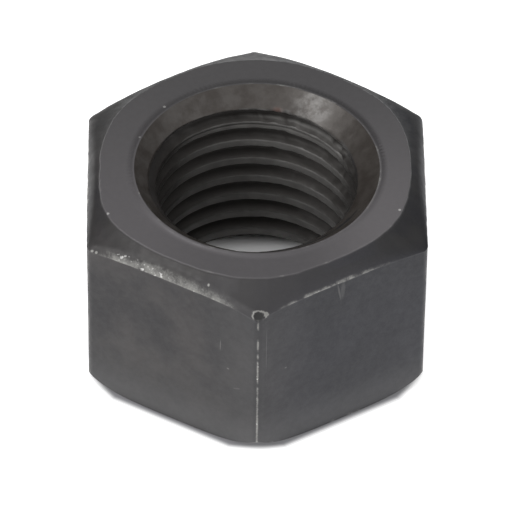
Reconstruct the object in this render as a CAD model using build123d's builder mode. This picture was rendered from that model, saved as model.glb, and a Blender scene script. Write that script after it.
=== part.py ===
from build123d import *
from build123d.topology import SkipClean
import os

os.makedirs("parts", exist_ok=True)

# High hexagon nut with a metric coarse thread, M36 x 4. All lengths are in millimetres.
# The origin is the centre of the lower bearing face, +Z runs up the thread axis and two corners lie on the Y axis.

# Hexagon body
across_flats = 54.0
height = 34.0
corner_radius = 1.6

# Upper end: a turned bearing face, a short step at its rim, then a shallow chamfer cone out over the corners
top_face_radius = 25.0
top_step_run = 0.45
top_step_depth = 0.9
top_chamfer_slope = 0.38

# Lower end: a wide bearing face, with the corners forged round
bottom_face_radius = 26.3
bottom_round_radius = 5.4

# Rounding of the long arcs where the ends meet the flats
upper_edge_radius = 1.2
lower_edge_radius = 0.5

# Countersink at each mouth of the thread
countersink_radius = 19.6
countersink_depth = 3.1

# Thread: 60 degree ISO profile, right hand. The crest radius is half the nut's minor diameter.
pitch = 4.0
crest_radius = 16.1
root_radius = 18.0
root_flat = 0.5
flank_slope = 0.57735
groove_start = -3.0
groove_turns = 10
groove_overcut = 0.6

# The envelope's own radius, just outside the corners, and the height where the chamfer cone reaches it
corner_reach = bottom_face_radius + bottom_round_radius
top_cone_run = corner_reach - top_face_radius - top_step_run
top_rim = height - top_step_depth - top_chamfer_slope * top_cone_run

with BuildPart() as envelope:
    with BuildSketch(Plane.XZ):
        with BuildLine():
            Line((0, 0), (bottom_face_radius, 0))
            CenterArc((bottom_face_radius, bottom_round_radius), bottom_round_radius, -90, 90)
            Polyline(
                (corner_reach, bottom_round_radius),
                (corner_reach, top_rim),
                (top_face_radius + top_step_run, height - top_step_depth),
                (top_face_radius, height),
                (0, height),
                (0, 0),
            )
        make_face()
    revolve(axis=Axis.Z)

# One turn of the thread groove, a trapezoid wider than the crest gap where it leaves the bore wall
groove_inner = crest_radius - groove_overcut
groove_inner_half = root_flat / 2 + (root_radius - groove_inner) * flank_slope

with BuildPart() as groove_turn:
    with BuildLine() as lead:
        Helix(pitch=pitch, height=pitch, radius=crest_radius, center=(0, 0, groove_start))
    with BuildSketch(Plane.XZ):
        with BuildLine():
            Polyline(
                (groove_inner, groove_start - groove_inner_half),
                (root_radius, groove_start - root_flat / 2),
                (root_radius, groove_start + root_flat / 2),
                (groove_inner, groove_start + groove_inner_half),
                close=True,
            )
        make_face()
    sweep(path=lead.line, is_frenet=True)

with BuildPart() as bore_quarter:
    with BuildSketch():
        with BuildLine():
            Line((0, 0), (crest_radius, 0))
            CenterArc((0, 0), crest_radius, 0, 90)
            Line((0, crest_radius), (0, 0))
        make_face()
    extrude(amount=height)

with BuildPart() as upper_countersink:
    with Locations((0, 0, height - countersink_depth / 2)):
        Cone(crest_radius, countersink_radius, countersink_depth)

with BuildPart() as lower_countersink:
    with Locations((0, 0, countersink_depth / 2)):
        Cone(countersink_radius, crest_radius, countersink_depth)

with BuildPart() as hex_nut:
    with BuildSketch():
        RegularPolygon(across_flats / 2, 6, major_radius=False, rotation=30)
        fillet(vertices(), corner_radius)
    extrude(amount=height)
    add(envelope.part, mode=Mode.INTERSECT)

    # The arcs that the envelope leaves on the flats and round the corners, one closed chain at each end
    lower_arcs = (
        hex_nut.edges()
        .filter_by(GeomType.LINE, reverse=True)
        .filter_by(GeomType.CIRCLE, reverse=True)
        .filter_by_position(Axis.Z, 0, height / 2)
    )
    fillet(lower_arcs, lower_edge_radius)
    upper_arcs = (
        hex_nut.edges()
        .filter_by(GeomType.LINE, reverse=True)
        .filter_by(GeomType.CIRCLE, reverse=True)
        .filter_by_position(Axis.Z, height * 0.75, height)
    )
    fillet(upper_arcs, upper_edge_radius)

    # The bore wall stays in quarters, so that each crest face is one quarter turn of the thread
    with SkipClean():
        for quarter in range(4):
            add(bore_quarter.part, rotation=(0, 0, 90 * quarter), mode=Mode.SUBTRACT, clean=False)

        for turn in range(groove_turns):
            with Locations((0, 0, pitch * turn)):
                add(groove_turn.part, mode=Mode.SUBTRACT, clean=False)

        add(upper_countersink.part, mode=Mode.SUBTRACT, clean=False)
        add(lower_countersink.part, mode=Mode.SUBTRACT, clean=False)

hex_nut.part.label = "hex_nut"
export_step(hex_nut.part, "parts/hex_nut.step")
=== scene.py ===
"""Looks for the high hexagon nut: one piece of oiled black steel with worn edges and some painted light and
shade, on a white floor with a painted glow and a painted contact shadow.
"""

import math

import bpy
import numpy as np
from mathutils import Matrix, Vector


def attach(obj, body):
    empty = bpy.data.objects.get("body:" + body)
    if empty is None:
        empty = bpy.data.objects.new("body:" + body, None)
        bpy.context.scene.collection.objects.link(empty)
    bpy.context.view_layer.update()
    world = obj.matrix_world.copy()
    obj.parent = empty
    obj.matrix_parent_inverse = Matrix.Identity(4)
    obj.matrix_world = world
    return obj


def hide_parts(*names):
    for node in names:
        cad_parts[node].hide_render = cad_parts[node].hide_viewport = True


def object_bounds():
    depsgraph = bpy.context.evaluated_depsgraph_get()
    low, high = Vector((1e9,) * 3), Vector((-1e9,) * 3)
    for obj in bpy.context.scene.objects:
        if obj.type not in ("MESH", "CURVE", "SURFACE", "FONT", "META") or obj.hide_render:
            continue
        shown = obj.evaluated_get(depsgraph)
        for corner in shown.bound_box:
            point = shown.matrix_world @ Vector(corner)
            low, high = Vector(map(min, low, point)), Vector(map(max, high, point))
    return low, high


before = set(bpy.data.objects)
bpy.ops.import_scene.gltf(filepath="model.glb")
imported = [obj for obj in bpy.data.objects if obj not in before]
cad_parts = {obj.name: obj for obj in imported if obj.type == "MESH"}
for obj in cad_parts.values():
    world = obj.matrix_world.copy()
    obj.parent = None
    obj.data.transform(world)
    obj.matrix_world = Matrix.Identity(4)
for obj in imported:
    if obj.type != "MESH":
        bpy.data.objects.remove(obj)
CAD_LOW, CAD_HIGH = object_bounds()

MM = 0.001
TAU = 2 * math.pi

# ---------------------------------------------------------------- sizes, in millimetres
# Angles are in degrees, counter-clockwise from +X. Flat k faces 60 k, and the nut's front corner is at -Y.
FLAT = CAD_HIGH[0] / MM             # half the width across flats
HEIGHT = CAD_HIGH[2] / MM
CORNER = 1.6                        # radius of the six vertical corners
FRONT_CORNER = 3                    # counted from the corner on +Y
LEFT_FLAT, RIGHT_FLAT = 4, 5        # the two flats beside the front corner
# the uneven edge of the upper face: angle, radius
FACE_RIM = ((0, 24.5), (30, 25.3), (60, 24.8), (90, 25.1), (120, 24.8), (150, 25.4), (180, 24.95),
            (207, 26.1), (240, 24.95), (268, 25.45), (300, 24.35), (330, 25.1))
STEP_RUN, STEP_DROP = 0.2, 0.35     # the small step that the facing cut leaves at that edge
SLOPE_FAR, SLOPE_MORE, SLOPE_FADE = 0.30, 0.50, 3.0     # the chamfer's slope eases off outwards
ROLL_WIDTH, ROLL_END = 1.4, math.tan(math.radians(70))  # the chamfer rolls over before it meets the flats
EDGE_DROP = {0: 2.9, 1: 2.9, 2: 2.95, 3: 3.0, 4: 3.0, 5: 2.85}      # where it meets each flat's middle
CORNER_MORE = 0.6                   # how much lower it meets the corners
BRUISE = (30.10, 3.02, 55, 2)       # dent on the front corner: radius, drop, slope, turn to the right
LOW_RING, LOW_ROUND = 26.3, 5.4     # lower face, and the radius that rounds the corners away below
LOW_EDGE = 0.5
MOUTH, SINK_DEPTH = 19.6, 3.1
MOUTH_SHIFT = (0.05, -0.2)          # the countersink stands a little off centre
MOUTH_MARGIN = 0.5                  # the faces begin this far outside the mouths
LIP_SHARES = (0.0, 0.33, 0.67, 1.0)
CREST, ROOT = 16.1, 18.0
PITCH, CREST_HALF = 4.0, 0.653
CREST_Z = 3.0                       # height of a crest's middle on the +X side
CREST_SOFT, ROOT_SOFT = 0.08, 0.25  # how softly crest and root turn into the flanks
LIP, STEP_FOOT = 0.10, 0.05         # rounding of the upper face's edge, and the gap at the foot of its step
FRONT_COLUMNS, OTHER_COLUMNS = 112, 68      # points along each of the two front flats, and along the others
FRONT_CORNER_COLUMNS, CORNER_COLUMNS = 28, 14


# ---------------------------------------------------------------- noise
def hash01(ix, iy, iz, seed):
    """A repeatable number from 0 to 1 for each lattice point."""
    h = (ix * 374761393 + iy * 668265263 + iz * 2147483647 + seed * 1274126177) & 0xFFFFFFFF
    h = ((h ^ (h >> 13)) * 1274126177) & 0xFFFFFFFF
    h = ((h ^ (h >> 16)) * 2246822519) & 0xFFFFFFFF
    return ((h ^ (h >> 15)) & 0xFFFFFF) / float(0xFFFFFF)


def noise(p, scale, seed):
    """Smooth noise from -1 to 1 at points p, with features about scale across."""
    q = np.asarray(p, float) / np.asarray(scale, float)
    i = np.floor(q).astype(np.int64)
    f = q - i
    w = f * f * f * (f * (f * 6 - 15) + 10)
    out = 0.0
    for dx in (0, 1):
        for dy in (0, 1):
            for dz in (0, 1):
                c = hash01(i[..., 0] + dx, i[..., 1] + dy, i[..., 2] + dz, seed)
                k = ((w[..., 0] if dx else 1 - w[..., 0]) * (w[..., 1] if dy else 1 - w[..., 1])
                     * (w[..., 2] if dz else 1 - w[..., 2]))
                out = out + c * k
    return out * 2 - 1


def fbm(p, scale, seed, octaves=3):
    """Noise summed over octaves, still roughly from -1 to 1."""
    scale = np.asarray(scale, float)
    total, weight, out = 0.0, 1.0, 0.0
    for o in range(octaves):
        out = out + weight * noise(p, scale / 2 ** o, seed + 17 * o)
        total += weight
        weight *= 0.55
    return out / total * 1.4


def smooth(x, a, b):
    """0 at a, 1 at b, smooth between, whichever is larger."""
    t = np.clip((np.asarray(x, float) - a) / (b - a), 0, 1)
    return t * t * (3 - 2 * t)


# ---------------------------------------------------------------- the plan outline
LENGTH = (FLAT - CORNER) * math.tan(math.pi / 6)        # half the straight part of a flat


def outline():
    """Columns, counter-clockwise from the corner on +Y: x, y, flat or -1, distance from its middle."""
    xs, ys, flat, along = [], [], [], []
    centre = (FLAT - CORNER) / math.cos(math.pi / 6)
    for k in range(6):
        corner = math.radians(90 + 60 * k)
        n = FRONT_CORNER_COLUMNS if k == FRONT_CORNER else CORNER_COLUMNS
        for i in range(n):
            a = corner - math.pi / 6 + math.pi / 3 * i / n
            xs.append(centre * math.cos(corner) + CORNER * math.cos(a))
            ys.append(centre * math.sin(corner) + CORNER * math.sin(a))
            flat.append(-1)
            along.append((i / n - 0.5) * CORNER * math.pi / 3)
        normal = corner + math.pi / 6
        m = FRONT_COLUMNS if k in (FRONT_CORNER - 1, FRONT_CORNER) else OTHER_COLUMNS
        for i in range(m):
            s = 2 * i / m - 1
            t = LENGTH * (s - 0.22 * (s ** 3 - s))
            xs.append(FLAT * math.cos(normal) - t * math.sin(normal))
            ys.append(FLAT * math.sin(normal) + t * math.cos(normal))
            flat.append(round(math.degrees(normal) / 60) % 6)
            along.append(t)
    return [np.array(v, float) for v in (xs, ys, flat, along)]


OX, OY, OFLAT, OALONG = outline()
N = len(OX)
PHI = np.unwrap(np.arctan2(OY, OX))
REACH = np.hypot(OX, OY)
DIRX, DIRY = np.cos(PHI), np.sin(PHI)
STRIDES = np.hypot(np.diff(OX), np.diff(OY))
TRAVEL = np.concatenate([[0.0], np.cumsum(STRIDES)])    # distance round the outline
FRONT = np.exp(-(OX / 1.9) ** 2) * (OY < 0)             # 1 at the front corner
BACK = smooth(DIRY, 0.2, 0.85)                          # 1 at the back, where face and chamfer run together
SHARE_ALONG = np.where(OFLAT < 0, 1.0, np.abs(OALONG) / LENGTH)
M = N // 2                                              # columns inside the hole


def around(table, angle):
    """Smooth periodic curve through a short table of angle and value."""
    degrees = np.degrees(angle) % 360
    a = [table[-1][0] - 360] + [row[0] for row in table] + [table[0][0] + 360]
    v = [table[-1][1]] + [row[1] for row in table] + [table[0][1]]
    i = np.clip(np.searchsorted(a, degrees, side="right") - 1, 0, len(a) - 2)
    a, v = np.array(a, float), np.array(v, float)
    f = (degrees - a[i]) / (a[i + 1] - a[i])
    return v[i] + (v[i + 1] - v[i]) * f * f * (3 - 2 * f)


def mouth_radius(x, y):
    return MOUTH + MOUTH_SHIFT[0] * x + MOUTH_SHIFT[1] * y


# ---------------------------------------------------------------- outer skin: rows of N points
STEP = STEP_DROP * (1 - 0.75 * BACK)        # the step is shallower at the back


def per_column(value):
    return np.broadcast_to(value, (N,)).astype(float)


def add_row(rows, r, z, zone, share=0.0):
    """A row is its radius, height, zone, and share of the way down the chamfer, roll-over, side or edge."""
    rows.append((per_column(r), per_column(z), zone, share))


def rim_wave():
    """Radius, per column, of the upper face's edge."""
    here = np.stack([DIRX * 25, DIRY * 25, np.full(N, 3.0)], -1)
    return around(FACE_RIM, PHI) + 0.10 * fbm(here, 3.0, 19, 3)


def chamfer_drop(x):
    """Drop and slope at a distance x outside the foot of the step."""
    fade = np.exp(-x / SLOPE_FADE)
    far, more = SLOPE_FAR + 0.2 * BACK, SLOPE_MORE * (1 - 0.65 * BACK)
    return STEP + far * x + more * SLOPE_FADE * (1 - fade), far + more * fade


def edge_drop():
    """Drop, per column, of the line where the chamfer meets the flats and corners."""
    here = np.stack([OX, OY, np.full(N, 50.0)], -1)
    middle = np.full(N, EDGE_DROP[0])
    for k, drop in EDGE_DROP.items():
        middle = np.where(OFLAT == k, drop, middle)
    # the line is higher beside the back corner, and lower at the two corners next to it
    shoulder = smooth(np.abs(OX), 14, 8) * smooth(np.abs(OX), 0.5, 5) * (OY > 0)
    soft = smooth(SHARE_ALONG, 0.8, 1.0) * (OY > 5) * smooth(np.abs(OX), 8, 20)
    middle = middle + CORNER_MORE * SHARE_ALONG ** 3 - 0.45 * shoulder + 0.4 * soft
    return middle + 0.5 * FRONT + 0.05 * fbm(here, 2.0, 5, 3)


def upper_rows():
    """Rows of the upper face, step, chamfer and roll-over, and the height where the side begins."""
    rows = []
    rim = rim_wave()
    inside = mouth_radius(DIRX, DIRY) + MOUTH_MARGIN
    for f in (0.0, 0.2, 0.4, 0.6, 0.8, 0.94):
        add_row(rows, inside + (rim - inside) * f, HEIGHT, "face")
    tilt = np.arctan2(STEP, STEP_RUN)
    for f in LIP_SHARES:
        a = tilt * f
        r = rim - LIP * np.tan(tilt / 2) + LIP * np.sin(a)
        add_row(rows, r, HEIGHT - LIP * (1 - np.cos(a)), "rim")
    foot = rim + STEP_RUN
    add_row(rows, foot - STEP_FOOT, HEIGHT - STEP * 0.78, "step")
    start = REACH - ROLL_WIDTH + 0.25 * FRONT - 0.6 * smooth(SHARE_ALONG, 0.7, 1.0) * (OY > 5)
    for f in (0.0, 0.06, 0.16, 0.30, 0.46, 0.63, 0.80):
        r = foot + (start - foot) * f
        add_row(rows, r, HEIGHT - chamfer_drop(r - foot)[0] - 0.02, "chamfer", f)
    first, lean = chamfer_drop(start - foot)
    last, width = edge_drop(), REACH - start
    bend = np.clip((ROLL_END * width - (last - first)) / (ROLL_END - lean), 0.1 * width, 0.9 * width)
    for u in [i / 12 for i in range(13)]:
        r = (1 - u) ** 2 * start + 2 * u * (1 - u) * (start + bend) + u * u * REACH
        drop = (1 - u) ** 2 * first + 2 * u * (1 - u) * (first + lean * bend) + u * u * last
        add_row(rows, r, HEIGHT - drop - 0.02 * (1 - u), "roll", u)
    return rows, HEIGHT - last


def lower_rows():
    """Rows of the lower face, its rounding and the edge above it, and the height where the side ends."""
    rows = []
    inside = MOUTH + MOUTH_MARGIN
    for f in (0.0, 0.25, 0.5, 0.75, 0.95):
        add_row(rows, inside + (LOW_RING - inside) * f, 0.0, "low_face")
    lean = np.zeros(N)
    for _ in range(6):
        end = REACH - LOW_EDGE * (1 - np.sin(lean))
        lean = np.arcsin(np.clip((end - LOW_RING) / LOW_ROUND, 0, 0.99))
    for i in range(11):
        a = lean * (i / 10)
        add_row(rows, LOW_RING + LOW_ROUND * np.sin(a), LOW_ROUND * (1 - np.cos(a)), "low_round")
    middle = LOW_ROUND * (1 - np.cos(lean)) + LOW_EDGE * np.cos(lean)
    for i in range(1, 7):
        a = lean + (math.pi / 2 - lean) * i / 6
        add_row(rows, REACH - LOW_EDGE * (1 - np.sin(a)), middle - LOW_EDGE * np.cos(a), "low_edge", i / 6)
    return rows, middle


TOP_ROWS, SIDE_TOP = upper_rows()
LOW_ROWS, SIDE_LOW = lower_rows()
SIDE_SHARES = [0.004, 0.012, 0.024, 0.04, 0.06]
SIDE_SHARES += [0.06 + 0.88 * i / 30 for i in range(1, 30)]
SIDE_SHARES += [0.94, 0.965, 0.985]
ROWS = list(TOP_ROWS)
for share in SIDE_SHARES:
    add_row(ROWS, REACH, SIDE_TOP + (SIDE_LOW - SIDE_TOP) * share, "side", share)
ROWS += list(reversed(LOW_ROWS))
K = len(ROWS)

OUTER = np.stack([np.stack([row[0] * DIRX, row[0] * DIRY, row[1]], -1) for row in ROWS])
ZONE = np.array([row[2] for row in ROWS])
SHARE = np.array([row[3] for row in ROWS])[:, None] * np.ones((1, N))


def zone(*names):
    """1 on the points of the rows in these zones."""
    return np.isin(ZONE, names)[:, None] * np.ones((1, N))


def skin_normals(p):
    """Outward normals of the grid of rows and columns."""
    across = np.roll(p, -1, 1) - np.roll(p, 1, 1)
    down = np.gradient(p, axis=0)
    n = np.cross(down, across)
    return n / np.maximum(np.linalg.norm(n, axis=-1, keepdims=True), 1e-9)


# ---------------------------------------------------------------- wear in the shape of the outer skin
def bruise(p):
    """Cuts the small flat dent on the front corner, and gives the distance to its rim, positive inside."""
    radius, drop, slope, turn = BRUISE
    a, b = math.radians(slope), math.radians(turn)
    normal = np.array([math.sin(a) * math.sin(b), -math.sin(a) * math.cos(b), math.cos(a)])
    start = np.array([0.0, -radius, HEIGHT - drop])
    near = (p[..., 1] < -27) & (np.abs(p[..., 0]) < 3) & (p[..., 2] > HEIGHT - 8)
    distance = np.where(near, (p - start) @ normal + 0.05 * noise(p, 0.8, 29), -9.0)
    return p - np.maximum(distance, 0)[..., None] * normal, np.maximum(distance, -1.0)


NORMALS = skin_normals(OUTER)
side, roll = zone("side"), zone("roll")
beaten = roll * (OFLAT == LEFT_FLAT) * smooth(np.abs(OALONG), 14.5, 9.0)    # the most knocked edge
bumps = 0.030 * fbm(OUTER, 9.0, 31, 3) * (side + zone("chamfer") + roll)
bumps += 0.010 * fbm(OUTER, 1.6, 37, 2) * (side + zone("chamfer", "roll", "step", "low_edge", "low_round"))
bumps += 0.055 * fbm(OUTER, 0.9, 41, 3) * beaten * np.sin(math.pi * SHARE) ** 0.5
bumps += 0.030 * fbm(OUTER, 1.0, 42, 2) * roll * smooth(SHARE, 0.5, 0.9)
bumps += 0.004 * fbm(OUTER, 3.0, 43, 2) * zone("face", "low_face")
bumps += 0.020 * fbm(OUTER, 0.8, 47, 2) * zone("rim", "step")
bumps -= 0.04 * (side + zone("low_edge", "low_round", "low_face")) + 0.005 * zone("face", "rim")
OUTER = OUTER + NORMALS * bumps[..., None]
OUTER, FACET = bruise(OUTER)
burr = np.exp(-(FACET / 0.08) ** 2) * smooth(OUTER[..., 2], HEIGHT - 4.4, HEIGHT - 3.9)
OUTER = OUTER + NORMALS * (0.06 * burr)[..., None]


# flats 0 to 5, then the corners: how bare the upper edge is, and the share of the roll-over where that begins
BARE_AMOUNT, CORNER_AMOUNT = [0.55, 0.5, 0.6, 0.55, 1.0, 0.95], 0.45
BARE_BEGIN, CORNER_BEGIN = [0.70, 0.75, 0.55, 0.65, 0.10, 0.62], 0.85


def wear_weights():
    """How bare the steel is, from 0 to 1, on the outer skin."""
    flats = [OFLAT == k for k in range(6)]
    amount = np.select(flats, BARE_AMOUNT, CORNER_AMOUNT)
    begin = np.select(flats, BARE_BEGIN, CORNER_BEGIN)
    # the upper edges are worn least toward the ends of the flats
    ends = smooth(np.abs(OALONG), 14.8, 6.0)
    ends = np.where(OFLAT == LEFT_FLAT, smooth(np.abs(OALONG + 1), 14.5, 8.5), ends)
    ends = np.where(OFLAT == RIGHT_FLAT, smooth(np.abs(OALONG + 2), 14.0, 3.0), ends)
    ends = np.where(OFLAT < 0, 0.5, ends)
    patch = smooth(fbm(OUTER, 1.6, 81, 3), -0.9, 0.3)
    beaten_patch = 0.55 + 0.45 * smooth(fbm(OUTER, 3.0, 83, 2), -0.5, 0.5)
    patchy = np.where(OFLAT == LEFT_FLAT, beaten_patch, patch)
    wear = roll * amount * smooth(SHARE, begin, 0.98) * ends * patchy
    rim_wear = 0.10 + 0.45 * smooth(fbm(OUTER, 2.5, 87, 3), 0.25, 0.9)
    wear = np.maximum(wear, zone("rim") * rim_wear * (1 - BACK))
    line = np.exp(-(OALONG / 0.16) ** 2) * (OFLAT < 0) * (side + zone("low_edge"))
    dashes = smooth(fbm(OUTER, (3.0, 3.0, 1.1), 89, 2), -0.45, 0.15)
    low = smooth(OUTER[..., 2], 16.0, 9.0)
    wear = np.maximum(wear, line * np.where(OY < -FLAT, 0.95 * np.maximum(dashes, 0.9 * low), 0.4 * dashes))
    low_line = zone("low_edge") * smooth(fbm(OUTER, 2.5, 90, 2), 0.1, 0.8) * 0.4
    return np.maximum(wear, low_line)


WEAR = wear_weights()
DRY = np.exp(-((np.degrees(PHI) % 360 - 280) / 34) ** 2)      # 1 a little to the right of the front corner
OIL = zone("chamfer", "step") * smooth(fbm(OUTER, 7.0, 91, 2), -0.8, 0.4)
OIL = OIL + roll * smooth(SHARE, 1.0, 0.1) * 0.8
OIL = OIL * (1 - 0.55 * DRY)
TURNED_CHAMFER = 0.28               # how much of the faces' pale finish the dry part of the chamfer shows
OFF_SKIN = -99.0                    # a distance round the outline for points that are not on the outer skin
NO_FACET = -1.0

# ---------------------------------------------------------------- the mesh, gathered row by row
verts, faces = [], []
attributes = {"wear": [], "turned": [], "sink": [], "inner": [], "crest": [], "oil": [], "facet": []}
skin = []                           # distance round the outline and height, to place marks on the flats


def push(points, travel=OFF_SKIN, **weights):
    """Adds a row of points with their weights, and returns their indices."""
    first, count = sum(len(v) for v in verts), len(points)
    verts.append(np.asarray(points, float))
    for name, values in attributes.items():
        plain = NO_FACET if name == "facet" else 0.0
        values.append(np.broadcast_to(weights.get(name, plain), (count,)).astype(float))
    skin.append(np.stack([np.broadcast_to(travel, (count,)), points[:, 2], np.zeros(count)], -1))
    return np.arange(first, first + count)


def strip(upper, lower):
    """Quads between two rows of the same count. On the outer skin, upper first makes them face outwards."""
    n = len(upper)
    for j in range(n):
        k = (j + 1) % n
        faces.append((upper[j], lower[j], lower[k], upper[k]))


def halve(fine, coarse, flip):
    """Joins a row of N to a row of M = N / 2."""
    for j in range(M):
        a, b, c = fine[2 * j], fine[2 * j + 1], fine[(2 * j + 2) % N]
        d, e = coarse[j], coarse[(j + 1) % M]
        for tri in ((d, a, b), (d, b, e), (e, b, c)):
            faces.append(tri[::-1] if flip else tri)


outer_rows = []
for i in range(K):
    turned = 1.0
    if ZONE[i] not in ("face", "rim", "low_face"):
        turned = TURNED_CHAMFER * DRY * (ZONE[i] in ("step", "chamfer", "roll"))
    row = push(OUTER[i], TRAVEL, wear=WEAR[i], turned=turned, oil=OIL[i], facet=FACET[i])
    outer_rows.append(row)
for a, b in zip(outer_rows[:-1], outer_rows[1:]):
    strip(a, b)

# ---------------------------------------------------------------- hole: countersinks and thread
THETA = PHI[::2]
CX, CY = np.cos(THETA), np.sin(THETA)
# distances from the middle of a crest at which the thread's rows lie
STATIONS = [-2.0, -1.72, -1.42, -1.05, -0.74, -0.62, -0.40, 0.0,
            0.22, 0.40, 0.62, 0.74, 1.00, 1.20, 1.42, 1.72]
PER_TURN = len(STATIONS)
TURNS = 12                          # more than the hole is long: the rows are clipped at both ends
RING_DEPTH, RING_GAP = 0.85, 0.02   # where the helical rows end, and the least gap to that ring
Z_HIGH, Z_LOW = HEIGHT - RING_DEPTH, RING_DEPTH


def thread_radius(d):
    """Radius of the thread's wall at an axial distance d from the nearest crest's middle."""
    flank = CREST + (np.abs(d) - CREST_HALF) * math.sqrt(3)
    above = flank - CREST
    r = np.maximum(flank, CREST)
    r = np.where(np.abs(above) < CREST_SOFT, CREST + (above + CREST_SOFT) ** 2 / (4 * CREST_SOFT), r)
    cut = ROOT - r
    r = np.minimum(r, ROOT)
    return np.where(np.abs(cut) < ROOT_SOFT, ROOT - (cut + ROOT_SOFT) ** 2 / (4 * ROOT_SOFT), r)


def cone_radius(z, theta):
    """Radius of the nearer countersink at height z. Away from the mouths it is under the crest radius."""
    steep = (MOUTH - CREST) / SINK_DEPTH
    up = mouth_radius(np.cos(theta), np.sin(theta)) - (HEIGHT - z) * steep
    return np.maximum(up, MOUTH - z * steep)


def wall(z, d, theta):
    """Points of the hole's wall, and weights for countersink and crest."""
    here = np.stack([16 * np.cos(theta), 16 * np.sin(theta), z], -1)
    torn = fbm(here, (1.5, 1.5, 0.8), 61, 3)
    right = smooth(np.cos(theta - math.radians(52)), 0.6, 0.97)        # the crests are torn most here
    near_top = smooth(z, HEIGHT - 11, HEIGHT - 4)
    r = thread_radius(np.abs(d) + 0.07 * torn * (0.5 + right + near_top))
    crest = smooth(np.abs(d), 0.76, 0.60)
    waves = 0.02 * fbm(here, (2.5, 2.5, 0.5), 67, 2) * (1 - crest)
    r = r + crest * 0.05 * torn * (0.3 + right + near_top) + waves
    # a second thin ridge on the upper flanks, and a tear along the first crest
    rough_cut = np.clip(near_top * (0.35 + right), 0, 1) * smooth(torn, -0.7, 0.2)
    ridge = np.exp(-((d - 1.2) / 0.17) ** 2) * rough_cut
    tear = np.exp(-((d - 0.22) / 0.12) ** 2) * smooth(z, HEIGHT - 7, HEIGHT - 5.6)
    r = r - 0.16 * ridge + 0.16 * tear
    depth = np.minimum(HEIGHT - z, z)
    back = smooth(np.cos(theta - math.radians(97)), 0.75, 0.98) * (z > HEIGHT / 2)
    cone = cone_radius(z, theta) + 0.05 * fbm(here, (1.3, 1.3, 1.3), 71, 3) * smooth(r, 18.5, 17)
    cone = cone - 0.45 * back * smooth(depth, 1.3, 2.4)
    sink = smooth(cone - r, -0.03, 0.06)
    r = np.maximum(cone, r)
    # the crests' rubbed shine is painted fainter at the two sides, as shade, and is patchy everywhere
    lit = np.where(np.cos(theta) > 0, smooth(np.cos(theta), 1.0, 0.75), smooth(-np.cos(theta), 0.92, 0.5))
    shine = np.maximum(crest * (1 - 0.8 * tear), 0.6 * ridge) * (0.1 + 0.9 * lit) * (0.85 + 0.5 * right)
    shine = shine * (0.75 + 0.25 * smooth(fbm(here, 2.2, 73, 3), -0.4, 0.4))
    return np.stack([r * np.cos(theta), r * np.sin(theta), z], -1), sink, shine * (1 - sink)


def grime(z, sink):
    """How dark and oily the thread is: less in the first groove under the mouth."""
    return (1 - sink) * (1 - 0.55 * smooth(z, HEIGHT - 4.6, HEIGHT - 3.2))


def mouth(top):
    """Rows from just inside a bearing face to the start of the threaded stretch."""
    sign, face = (1, HEIGHT) if top else (-1, 0.0)
    rim = mouth_radius(CX, CY) if top else np.full(M, MOUTH)
    tilt = math.atan2(SINK_DEPTH, MOUTH - CREST)
    here = np.stack([CX * 19, CY * 19, np.full(M, 1.0 + top)], -1)
    lip = 0.13 + 0.05 * fbm(here, 2.0, 95, 2)
    back = lip * math.tan(tilt / 2)
    bright = smooth(fbm(here, 3.0, 97, 3), -0.1, 0.7) * 0.8
    outside = rim + MOUTH_MARGIN
    rows = [push(np.stack([outside * CX, outside * CY, np.full(M, face)], -1), turned=1.0)]
    for f in LIP_SHARES:
        a = tilt * f
        r = rim + back - lip * math.sin(a)
        z = face - sign * lip * (1 - math.cos(a))
        points = np.stack([r * CX, r * CY, z], -1)
        rows.append(push(points, turned=1 - f, sink=f, wear=bright * (1 - f) ** 0.5))
    for drop in (0.35, 0.6):
        points = wall(np.full(M, face - sign * drop), np.full(M, 0.0), THETA)[0]
        rows.append(push(points, sink=1.0))
    return rows


def end_ring(z):
    """The row at height z where the helical grid begins or ends."""
    d = (z - CREST_Z - PITCH * THETA / TAU) / PITCH
    points, sink, crest = wall(np.full(M, z), (d - np.round(d)) * PITCH, THETA)
    return push(points, sink=sink, crest=crest, inner=grime(np.full(M, z), sink))


def thread_grid(high_ring, low_ring):
    """Rows that follow the helix, clipped to the two end rings."""
    grid = []
    for turn in range(TURNS):
        for station in STATIONS:
            z = CREST_Z + PITCH * (THETA / TAU + turn - 2) + station
            kept = (z > Z_LOW + RING_GAP) & (z < Z_HIGH - RING_GAP)
            ids = np.where(z >= Z_HIGH - RING_GAP, high_ring, low_ring)
            if kept.any():
                points, sink, crest = wall(z, np.full(M, station), THETA)
                dirt = grime(z, sink)
                ids[kept] = push(points[kept], sink=sink[kept], crest=crest[kept], inner=dirt[kept])
            grid.append(ids)
    for level in range(len(grid) - 1 - PER_TURN):
        for j in range(M):
            k = (j + 1) % M
            jump = PER_TURN if k == 0 else 0
            quad = (grid[level + 1 + jump][k], grid[level + jump][k], grid[level][j], grid[level + 1][j])
            seen = tuple(dict.fromkeys(quad))
            if len(seen) > 2:
                faces.append(seen)


top_mouth, low_mouth = mouth(True), mouth(False)
halve(outer_rows[0], top_mouth[0], False)
halve(outer_rows[-1], low_mouth[0], True)
for a, b in zip(top_mouth[:-1], top_mouth[1:]):
    strip(b, a)
for a, b in zip(low_mouth[:-1], low_mouth[1:]):
    strip(a, b)
high_ring, low_ring = end_ring(Z_HIGH), end_ring(Z_LOW)
strip(high_ring, top_mouth[-1])
strip(low_mouth[-1], low_ring)
thread_grid(high_ring, low_ring)

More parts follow.
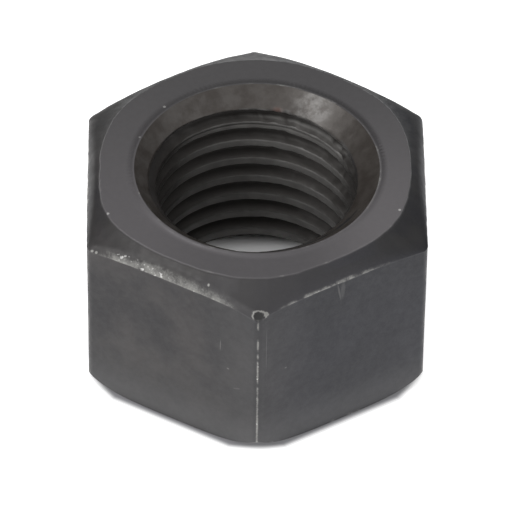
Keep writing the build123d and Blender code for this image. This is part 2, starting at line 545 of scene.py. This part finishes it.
POINTS = np.concatenate(verts)
mesh = bpy.data.meshes.new("hex_nut_steel")
mesh.from_pydata((POINTS * MM).tolist(), [], [tuple(int(v) for v in f) for f in faces])
mesh.update()
for name, values in attributes.items():
    layer = mesh.attributes.new(name, "FLOAT", "POINT")
    layer.data.foreach_set("value", np.concatenate(values).astype(np.float32))
layer = mesh.attributes.new("skin", "FLOAT_VECTOR", "POINT")
layer.data.foreach_set("vector", np.concatenate(skin).astype(np.float32).ravel())
mesh.polygons.foreach_set("use_smooth", [True] * len(mesh.polygons))
nut = bpy.data.objects.new("hex_nut_steel", mesh)
bpy.context.scene.collection.objects.link(nut)


# ---------------------------------------------------------------- material
class Nodes:
    """A short way to write a node tree."""

    def __init__(self, tree):
        self.tree = tree
        self.tree.nodes.clear()

    def node(self, kind, inputs=None, **settings):
        n = self.tree.nodes.new(kind)
        for k, v in settings.items():
            setattr(n, k, v)
        for k, v in (inputs or {}).items():
            if isinstance(v, bpy.types.NodeSocket):
                self.tree.links.new(v, n.inputs[k])
            else:
                n.inputs[k].default_value = v
        return n

    def attribute(self, name, output="Fac"):
        return self.node("ShaderNodeAttribute", attribute_name=name).outputs[output]

    def noise(self, vector, size, detail=3.0, rough=0.5):
        """Noise from 0 to 1 with features about size millimetres across."""
        inputs = {"Vector": vector, "Scale": 1 / (size * MM), "Detail": detail, "Roughness": rough}
        return self.node("ShaderNodeTexNoise", inputs).outputs["Fac"]

    def ramp(self, value, low, high, to_low=0.0, to_high=1.0):
        """Smooth step between two values of a socket."""
        inputs = {"Value": value, "From Min": low, "From Max": high, "To Min": to_low, "To Max": to_high}
        return self.node("ShaderNodeMapRange", inputs, interpolation_type="SMOOTHSTEP").outputs["Result"]

    def maths(self, operation, a, b=0.0):
        return self.node("ShaderNodeMath", {0: a, 1: b}, operation=operation).outputs[0]

    def dot(self, a, b):
        return self.node("ShaderNodeVectorMath", {0: a, 1: b}, operation="DOT_PRODUCT").outputs["Value"]

    def mix(self, factor, a, b):
        n = self.node("ShaderNodeMix", data_type="RGBA")
        for socket, v in ((n.inputs[0], factor), (n.inputs[6], a), (n.inputs[7], b)):
            if isinstance(v, bpy.types.NodeSocket):
                self.tree.links.new(v, socket)
            else:
                socket.default_value = v
        return n.outputs[2]

    def mark(self, vector, centre, half, angle=0.0):
        """1 in the middle of a small ellipse or ellipsoid, 0 outside it."""
        turn = (0, 0, math.radians(angle))
        inputs = {"Vector": vector, "Location": centre, "Scale": half, "Rotation": turn}
        place = self.node("ShaderNodeMapping", inputs, vector_type="TEXTURE")
        size = self.node("ShaderNodeVectorMath", {0: place.outputs[0]}, operation="LENGTH").outputs["Value"]
        return self.ramp(size, 1.0, 0.4)


def grey(v, tint=(1.0, 1.0, 1.0)):
    return (v * tint[0], v * tint[1], v * tint[2], 1.0)


def travel_at(flat, t):
    """Distance round the outline of a point t along a flat."""
    on = OFLAT == flat
    return float(np.interp(t, OALONG[on], TRAVEL[on]))


# pale nicks on the flats: flat, distance along it, height, half length, half width, angle, strength
NICKS = (
    (4, 8.8, 21.5, 1.5, 0.12, 88, 0.20),
    (4, 10.2, 16.9, 0.30, 0.20, 0, 0.25),
    (4, 11.8, 13.2, 0.9, 0.2, 20, 0.10),
    (4, -14.7, 30.7, 0.35, 0.26, 0, 0.9),
    (4, -13.9, 30.75, 0.32, 0.30, 0, 0.9),
    (4, 6.3, 32.6, 0.26, 0.22, 0, 0.7),
    (5, -0.75, 29.2, 2.6, 0.22, 100, 0.14),
    (5, -0.1, 29.4, 2.6, 0.55, 88, 0.09),
    (5, -14.0, 23.0, 5.5, 0.12, 90, 0.10),
    (5, -10.4, 17.2, 0.25, 0.2, 0, 0.2),
    (0, 4.0, 20.0, 2.2, 0.12, 70, 0.2),
    (1, -6.0, 24.0, 1.8, 0.12, 100, 0.2),
    (1, 5.0, 12.0, 0.4, 0.25, 0, 0.25),
    (2, 2.0, 22.0, 3.0, 0.12, 60, 0.2),
    (2, -8.0, 9.0, 0.3, 0.3, 0, 0.25),
    (3, 6.0, 25.0, 2.0, 0.14, 110, 0.2),
    (3, -4.0, 14.0, 0.4, 0.2, 0, 0.25),
    (0, -9.0, 11.0, 0.3, 0.2, 0, 0.2),
)

# bright flecks at the edges of the upper face: angle, radius, half size, strength
FLECKS = (
    (136.6, 20.3, 0.30, 0.9),
    (204.7, 26.0, 0.30, 0.7),
    (336.0, 24.7, 0.30, 0.7),
    (160.0, 19.9, 0.22, 0.5),
)

SIDE_BLEND = 0.012                  # half the width over which the left's tones turn into the right's

# two marks in the hole, a painted highlight on the countersink and a rust mark: centre and half sizes, in
# metres
SINK_PAINTED_HIGHLIGHT = ((0.0092, 0.0151, 0.0320), (0.0044, 0.0036, 0.0052))
RUST_MARK = ((0.0038, 0.0166, 0.0312), (0.0018, 0.0014, 0.0008))
BEATEN_MIDDLE, BEATEN_HALF, BEATEN_ANGLE = (-5.5, 31.55), (6.5, 0.8, 1.0), -2      # millimetres, left flat
DENT_FOOT, DENT_TOP = 0.0300, 0.0304        # the dent's burr fades in between these heights, in metres

# the steel's main tones; the oxide has a dark and a pale one on each side, and the right side's pair is
# painted darker than the left's, as shade, with a bluer tint
OXIDE_LEFT_LIT = (grey(0.016, (1.00, 0.93, 1.06)), grey(0.034, (1.07, 0.96, 0.96)))
OXIDE_RIGHT_SHADED = (grey(0.009, (0.90, 0.93, 1.50)), grey(0.018, (0.92, 0.94, 1.30)))
RUST = (0.11, 0.035, 0.020, 1.0)
THREAD_DIRT = grey(0.023, (1.12, 1.0, 0.91))
BARE_CREST = grey(0.15, (1.03, 1.0, 0.96))
BARE_EDGE = grey(0.30, (1.0, 0.99, 0.94))
BARE_SPECK = grey(0.60, (1.0, 0.99, 0.97))


def rightward(n, xyz):
    """0 on the nut's left, 1 on its right."""
    return n.ramp(xyz.outputs["X"], -SIDE_BLEND, SIDE_BLEND)


def oxide_and_painted_shading(n, place, xyz):
    """Cloudy oxide: warmer to the left, bluer to the right and painted darker there as shade, painted paler
    as light toward the front corner and the foot, and painted darker as shade on the upper right.
    """
    to_right = rightward(n, xyz)
    cloud = n.ramp(n.noise(place, 9.0, 4.0, 0.6), 0.32, 0.68)
    # painted shade: the right side takes the darker copy of the oxide's tones, the left the lit one
    colour = n.mix(to_right, n.mix(cloud, *OXIDE_LEFT_LIT), n.mix(cloud, *OXIDE_RIGHT_SHADED))
    from_middle = n.maths("ABSOLUTE", xyz.outputs["X"])
    # painted light: the oxide is paler toward the front corner and the foot, more so on the left
    pale = n.maths("MAXIMUM", n.ramp(from_middle, 0.011, 0.001), n.ramp(xyz.outputs["Z"], 0.020, 0.002))
    pale = n.maths("MULTIPLY", pale, n.ramp(xyz.outputs["X"], -0.002, 0.002, 0.32, 0.13))
    colour = n.mix(pale, colour, grey(0.060, (1.02, 1.0, 0.98)))
    # painted shade: darker on the upper part of the right side
    painted_shade_upper_right = n.maths("MULTIPLY", n.ramp(xyz.outputs["Z"], 0.018, 0.030, 0.0, 0.45), to_right)
    colour = n.mix(painted_shade_upper_right, colour, grey(0.006, (0.9, 0.93, 1.5)))
    # painted light: paler again just above the floor
    foot = n.maths("MULTIPLY", n.ramp(xyz.outputs["Z"], 0.009, 0.001), 0.50)
    colour = n.mix(foot, colour, grey(0.075, (1.0, 0.99, 1.02)))
    grain = n.ramp(n.noise(place, 0.35, 2.0, 0.6), 0.3, 0.7)
    return n.mix(n.maths("MULTIPLY", grain, 0.15), colour, grey(0.040))


def faced_colour(n, place, xyz, colour):
    """Adds the pale turned faces, painted with shade and sheen so that they are darker at the front middle
    and at the back and lighter at the right, and the oil on the chamfer, painted paler at the back.
    """
    to_right = rightward(n, xyz)
    to_back = n.ramp(xyz.outputs["Y"], -0.016, 0.024)
    from_middle = n.maths("ABSOLUTE", xyz.outputs["X"])
    # painted sheen and shade: the turned faces' tone is set by side, lighter to the right, darker at the
    # front middle and darker again at the back
    sides = n.mix(to_right, grey(0.106, (1.0, 0.94, 0.99)), grey(0.132, (1.0, 0.94, 0.98)))
    front_face = n.mix(n.ramp(from_middle, 0.006, 0.020), grey(0.088, (1.0, 0.94, 0.99)), sides)
    faced_with_painted_sheen = n.mix(to_back, front_face, grey(0.070, (1.0, 0.96, 0.99)))
    colour = n.mix(n.maths("MULTIPLY", n.attribute("turned"), 0.9), colour, faced_with_painted_sheen)
    # painted sheen: the oil is paler toward the back
    oil_and_painted_sheen = n.mix(to_back, grey(0.022, (1.06, 1.0, 0.96)), grey(0.034, (1.0, 0.99, 1.0)))
    smudge = n.ramp(n.noise(place, 4.5, 4.0, 0.6), 0.35, 0.65, 0.40, 0.80)
    return n.mix(n.maths("MULTIPLY", n.attribute("oil"), smudge), colour, oil_and_painted_sheen)


def hole_colour(n, place, xyz, colour):
    """Adds the countersink, brown and a little darker on the right as painted shade, with one painted
    highlight, and the dirty thread with its rubbed crests, painted darker deeper down as shade.
    """
    to_right = rightward(n, xyz)
    sink = n.attribute("sink")
    stain = n.ramp(n.noise(place, 3.0, 4.0, 0.65), 0.32, 0.68)
    # painted shade: the countersink's brown is a little darker on the right than on the left
    pale_brown = n.mix(to_right, grey(0.060, (1.10, 1.0, 0.93)), grey(0.050, (1.14, 1.0, 0.90)))
    colour = n.mix(sink, colour, n.mix(stain, grey(0.030, (1.20, 1.0, 0.86)), pale_brown))
    ragged = n.ramp(n.noise(place, 1.6, 4.0, 0.65), 0.35, 0.62)
    # painted highlight: a pale ragged patch on the countersink
    patch = n.maths("MULTIPLY", n.mark(place, *SINK_PAINTED_HIGHLIGHT), ragged)
    patch = n.maths("MULTIPLY", patch, n.maths("MULTIPLY", sink, 0.50))
    colour = n.mix(patch, colour, grey(0.17, (1.03, 1.0, 0.97)))

    colour = n.mix(n.attribute("inner"), colour, THREAD_DIRT)
    # painted shade: the rubbed crests are darker deeper in the hole
    painted_depth_shade = n.ramp(xyz.outputs["Z"], 0.016, 0.028, 0.55, 1.0)
    colour = n.mix(n.maths("MULTIPLY", n.attribute("crest"), painted_depth_shade), colour, BARE_CREST)
    return n.mix(n.maths("MULTIPLY", n.mark(place, *RUST_MARK), 0.8), colour, RUST)


def rubbing(n, place):
    """How bare the edges and nicks are, and the brighter glints where they are rubbed most."""
    flatwise, wear = n.attribute("skin", "Vector"), n.attribute("wear")
    small = n.noise(place, 1.3, 3.0, 0.65)
    tiny = n.noise(place, 0.35, 2.0, 0.6)
    broken = n.maths("ADD", n.ramp(small, 0.3, 0.7, -0.20, 0.20), n.ramp(tiny, 0.3, 0.7, -0.12, 0.12))
    level = n.maths("ADD", wear, n.maths("MULTIPLY", broken, n.ramp(wear, 0.0, 0.4)))
    rubbed = n.ramp(level, 0.0, 1.25, 0.0, 0.80)
    for flat, t, z, length, width, angle, strength in NICKS:
        spot = n.mark(flatwise, (travel_at(flat, t), z, 0.0), (length, width, 1.0), angle)
        rubbed = n.maths("MAXIMUM", rubbed, n.maths("MULTIPLY", spot, strength))
    t, z = BEATEN_MIDDLE
    beaten_edge = n.mark(flatwise, (travel_at(LEFT_FLAT, t), z, 0.0), BEATEN_HALF, BEATEN_ANGLE)
    glint = n.maths("MULTIPLY", n.ramp(tiny, 0.66, 0.74), n.ramp(wear, 0.35, 0.8))
    dots = n.ramp(n.noise(place, 0.55, 1.0, 0.5), 0.62, 0.69)
    glint = n.maths("MAXIMUM", glint, n.maths("MULTIPLY", dots, beaten_edge))
    for angle, radius, half, strength in FLECKS:
        a = math.radians(angle)
        centre = (radius * math.cos(a) * MM, radius * math.sin(a) * MM, HEIGHT * MM)
        fleck = n.mark(place, centre, (half * MM, half * MM, half * MM))
        glint = n.maths("MAXIMUM", glint, n.maths("MULTIPLY", fleck, strength))
    return rubbed, glint


def dent(n, place, xyz):
    """The front corner's dent: how dark it is inside, and the thin burr round it."""
    wavy = n.maths("ADD", n.attribute("facet"), n.ramp(n.noise(place, 0.7), 0.3, 0.7, -0.05, 0.05))
    off_burr = n.maths("ABSOLUTE", n.maths("ADD", wavy, 0.02))
    line = n.maths("MULTIPLY", n.ramp(off_burr, 0.10, 0.03), n.ramp(xyz.outputs["Z"], DENT_FOOT, DENT_TOP))
    return n.ramp(wavy, 0.04, 0.14), line


def roughness(n, place, rubbed):
    """Matt oxide, smoother in the oily countersink and where it is rubbed."""
    rough = n.ramp(n.noise(place, 1.1, 3.0, 0.6), 0.3, 0.7, 0.46, 0.56)
    rough = n.maths("SUBTRACT", rough, n.maths("MULTIPLY", n.attribute("sink"), 0.14))
    return n.maths("SUBTRACT", rough, n.maths("MULTIPLY", rubbed, 0.10))


def steel():
    mat = bpy.data.materials.new("black_oxide_steel_with_painted_light")
    mat.use_nodes = True
    n = Nodes(mat.node_tree)
    place = n.node("ShaderNodeTexCoord").outputs["Object"]
    xyz = n.node("ShaderNodeSeparateXYZ", {0: place})
    colour = oxide_and_painted_shading(n, place, xyz)
    colour = faced_colour(n, place, xyz, colour)
    colour = hole_colour(n, place, xyz, colour)
    rubbed, glint = rubbing(n, place)
    hollow, burr_line = dent(n, place, xyz)
    rubbed = n.maths("MAXIMUM", rubbed, n.maths("MULTIPLY", burr_line, 0.75))
    colour = n.mix(hollow, colour, grey(0.016))
    colour = n.mix(rubbed, colour, BARE_EDGE)
    colour = n.mix(glint, colour, BARE_SPECK)

    fine = n.noise(place, 0.3, 3.0, 0.6)
    bump = n.node("ShaderNodeBump", {"Strength": 0.25, "Distance": 0.00004, "Height": fine})
    groove = n.maths("MULTIPLY", n.attribute("inner"), n.maths("SUBTRACT", 1.0, n.attribute("crest")))
    metal = n.maths("MAXIMUM", n.maths("MULTIPLY", groove, 0.55), 0.30)
    metal = n.maths("MAXIMUM", n.maths("MAXIMUM", rubbed, glint), metal)
    shader = n.node("ShaderNodeBsdfPrincipled", {
        "Base Color": colour,
        "Roughness": roughness(n, place, rubbed),
        "Metallic": metal,
        "Normal": bump.outputs["Normal"],
    })
    n.node("ShaderNodeOutputMaterial", {"Surface": shader.outputs["BSDF"]})
    return mat


mesh.materials.append(steel())
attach(nut, "root")
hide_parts("hex_nut")

# ---------------------------------------------------------------- floor, with a painted glow and a painted contact shadow
SPAN, CELLS = 8.0, 32
FLOOR_DROP = 0.00002                        # it lies a hair under the nut
ROUND_FOOT = 0.0020                         # how far the nut's foot is cut back at its corners
FRONT_LOW, FRONT_HIGH, FRONT_SHIFT = -0.0132, -0.0108, 0.0018      # the painted shadow and glow edge reach further out in front
GLOW_START, GLOW_FULL, GLOW = 0.0268, 0.0285, 0.62      # painted light: the paper glows outside the nut's footprint
GLOW_FADE, GLOW_END = 0.10, 0.35            # and no longer does far from it
HOLE_FAR, HOLE_NEAR, HOLE_GLOW = 0.0192, 0.0150, 0.12   # a weaker painted glow under the nut, seen through its hole, fading out toward the back as painted shade
PAINTED_CONTACT_SHADOW = ((0.0281, 0.0268), (0.0240, 0.0255))          # where the painted contact shadow fades outwards and inwards


def footprint_distance(n, place, depth):
    """Distance from the middle, measured square to the nearest flat, with the nut's corners rounded off."""
    radius = n.node("ShaderNodeVectorMath", {0: place}, operation="LENGTH").outputs["Value"]
    distance = n.maths("SUBTRACT", radius, ROUND_FOOT)
    for angle in (0, 60, 120):
        toward = (math.cos(math.radians(angle)), math.sin(math.radians(angle)), 0.0)
        distance = n.maths("MAXIMUM", distance, n.maths("ABSOLUTE", n.dot(place, toward)))
    return n.maths("ADD", distance, n.ramp(depth, FRONT_LOW, FRONT_HIGH, 0.0, FRONT_SHIFT))


def paper():
    mat = bpy.data.materials.new("white_paper_with_painted_light")
    mat.use_nodes = True
    n = Nodes(mat.node_tree)
    place = n.node("ShaderNodeTexCoord").outputs["Object"]
    depth = n.node("ShaderNodeSeparateXYZ", {0: place}).outputs["Y"]
    distance = footprint_distance(n, place, depth)
    # painted light: the floor glows in a band round the nut's footprint, and weakly under the hole
    near = n.ramp(distance, GLOW_START, GLOW_FULL, 0.0, GLOW)
    outside = n.maths("MULTIPLY", near, n.ramp(distance, GLOW_END, GLOW_FADE))
    inside = n.ramp(distance, GLOW_FULL, GLOW_START)
    through = n.maths("MULTIPLY", n.ramp(depth, HOLE_FAR, HOLE_NEAR, 0.0, HOLE_GLOW), inside)
    glow = n.maths("ADD", outside, through)
    tooth = n.mix(n.noise(place, 2.0), grey(0.85), grey(0.87))
    painted_contact_shadow = n.maths("MULTIPLY", n.ramp(distance, *PAINTED_CONTACT_SHADOW[0]), n.ramp(distance, *PAINTED_CONTACT_SHADOW[1]))
    # painted shadow: the paper's colour turns dark violet in a band round the nut's foot
    tooth = n.mix(n.maths("MULTIPLY", painted_contact_shadow, 0.95), tooth, grey(0.12, (0.97, 0.94, 1.12)))
    shader = n.node("ShaderNodeBsdfPrincipled", {
        "Base Color": tooth,
        "Roughness": 0.9,
        "Specular IOR Level": 0.2,
        "Emission Color": grey(1.0),
        "Emission Strength": glow,
    })
    n.node("ShaderNodeOutputMaterial", {"Surface": shader.outputs["BSDF"]})
    return mat


def make_floor():
    lines = [SPAN * (i / CELLS - 0.5) for i in range(CELLS + 1)]
    points = [(x, y, -FLOOR_DROP) for y in lines for x in lines]
    width = CELLS + 1
    quads = [(j * width + i, j * width + i + 1, (j + 1) * width + i + 1, (j + 1) * width + i)
             for j in range(CELLS) for i in range(CELLS)]
    floor_mesh = bpy.data.meshes.new("floor")
    floor_mesh.from_pydata(points, [], quads)
    floor_mesh.materials.append(paper())
    floor = bpy.data.objects.new("floor", floor_mesh)
    bpy.context.scene.collection.objects.link(floor)


make_floor()


# ---------------------------------------------------------------- light
ROOM = 1.02
DARK_LOBES = (                      # direction, depth
    ((-0.70, 0.60, 0.40), 0.85),
    ((0.70, 0.60, 0.40), 0.80),
    ((0.0, 1.0, 0.05), 0.5),
)


def studio():
    """A bright room that is darker low behind the nut, and most of all to the left and right there."""
    world = bpy.data.worlds.new("studio")
    bpy.context.scene.world = world
    world.use_nodes = True
    n = Nodes(world.node_tree)
    toward = n.node("ShaderNodeTexCoord").outputs["Generated"]
    level = None
    for direction, depth in DARK_LOBES:
        dark = tuple(Vector(direction).normalized())
        facing = n.dot(toward, dark)
        shade = n.ramp(facing, 0.72, 0.97, 0.0, depth)
        level = shade if level is None else n.maths("ADD", level, shade)
    strength = n.maths("MAXIMUM", n.maths("SUBTRACT", ROOM, level), 0.05)
    background = n.node("ShaderNodeBackground", {"Color": grey(1.0), "Strength": strength})
    n.node("ShaderNodeOutputWorld", {"Surface": background.outputs[0]})


def softbox(name, azimuth, elevation, distance, size, power):
    """An area light aimed at the nut from a direction; azimuth 0 is +X, counter-clockwise."""
    a, e = math.radians(azimuth), math.radians(elevation)
    light = bpy.data.lights.new(name, "AREA")
    light.shape = "DISK"
    light.size = size
    light.energy = power
    o = bpy.data.objects.new(name, light)
    place = Vector((math.cos(a) * math.cos(e), math.sin(a) * math.cos(e), math.sin(e))) * distance
    o.location = place
    o.rotation_euler = (-place).to_track_quat("-Z", "Y").to_euler()
    bpy.context.scene.collection.objects.link(o)


studio()
softbox("key", azimuth=206, elevation=44, distance=1.2, size=0.7, power=5.2)


# ---------------------------------------------------------------- camera
def make_camera(elevation, azimuth, roll, lens, distance, aim):
    """Looks at aim. Angles are in degrees; azimuth 0 is straight in front, and more is to the right."""
    e, a, turn = math.radians(elevation), math.radians(azimuth), math.radians(roll)
    back = Vector((math.sin(a) * math.cos(e), -math.cos(a) * math.cos(e), math.sin(e)))
    right = Vector((math.cos(a), math.sin(a), 0.0))
    up = back.cross(right)
    across = right * math.cos(turn) - up * math.sin(turn)
    upward = right * math.sin(turn) + up * math.cos(turn)
    camera = bpy.data.cameras.new("camera")
    camera.lens = lens
    camera.sensor_width = 36.0
    camera.clip_end = 20.0
    eye = bpy.data.objects.new("camera", camera)
    axes = Matrix((across, upward, back)).transposed().to_4x4()
    eye.matrix_world = Matrix.Translation(Vector(aim) + back * distance) @ axes
    bpy.context.scene.collection.objects.link(eye)
    bpy.context.scene.camera = eye


make_camera(elevation=44.2857, azimuth=-0.9787, roll=-0.6668, lens=416.58, distance=0.95914,
            aim=(0.00006, 0.0, 0.0140))
bpy.context.scene.view_settings.view_transform = "Standard"
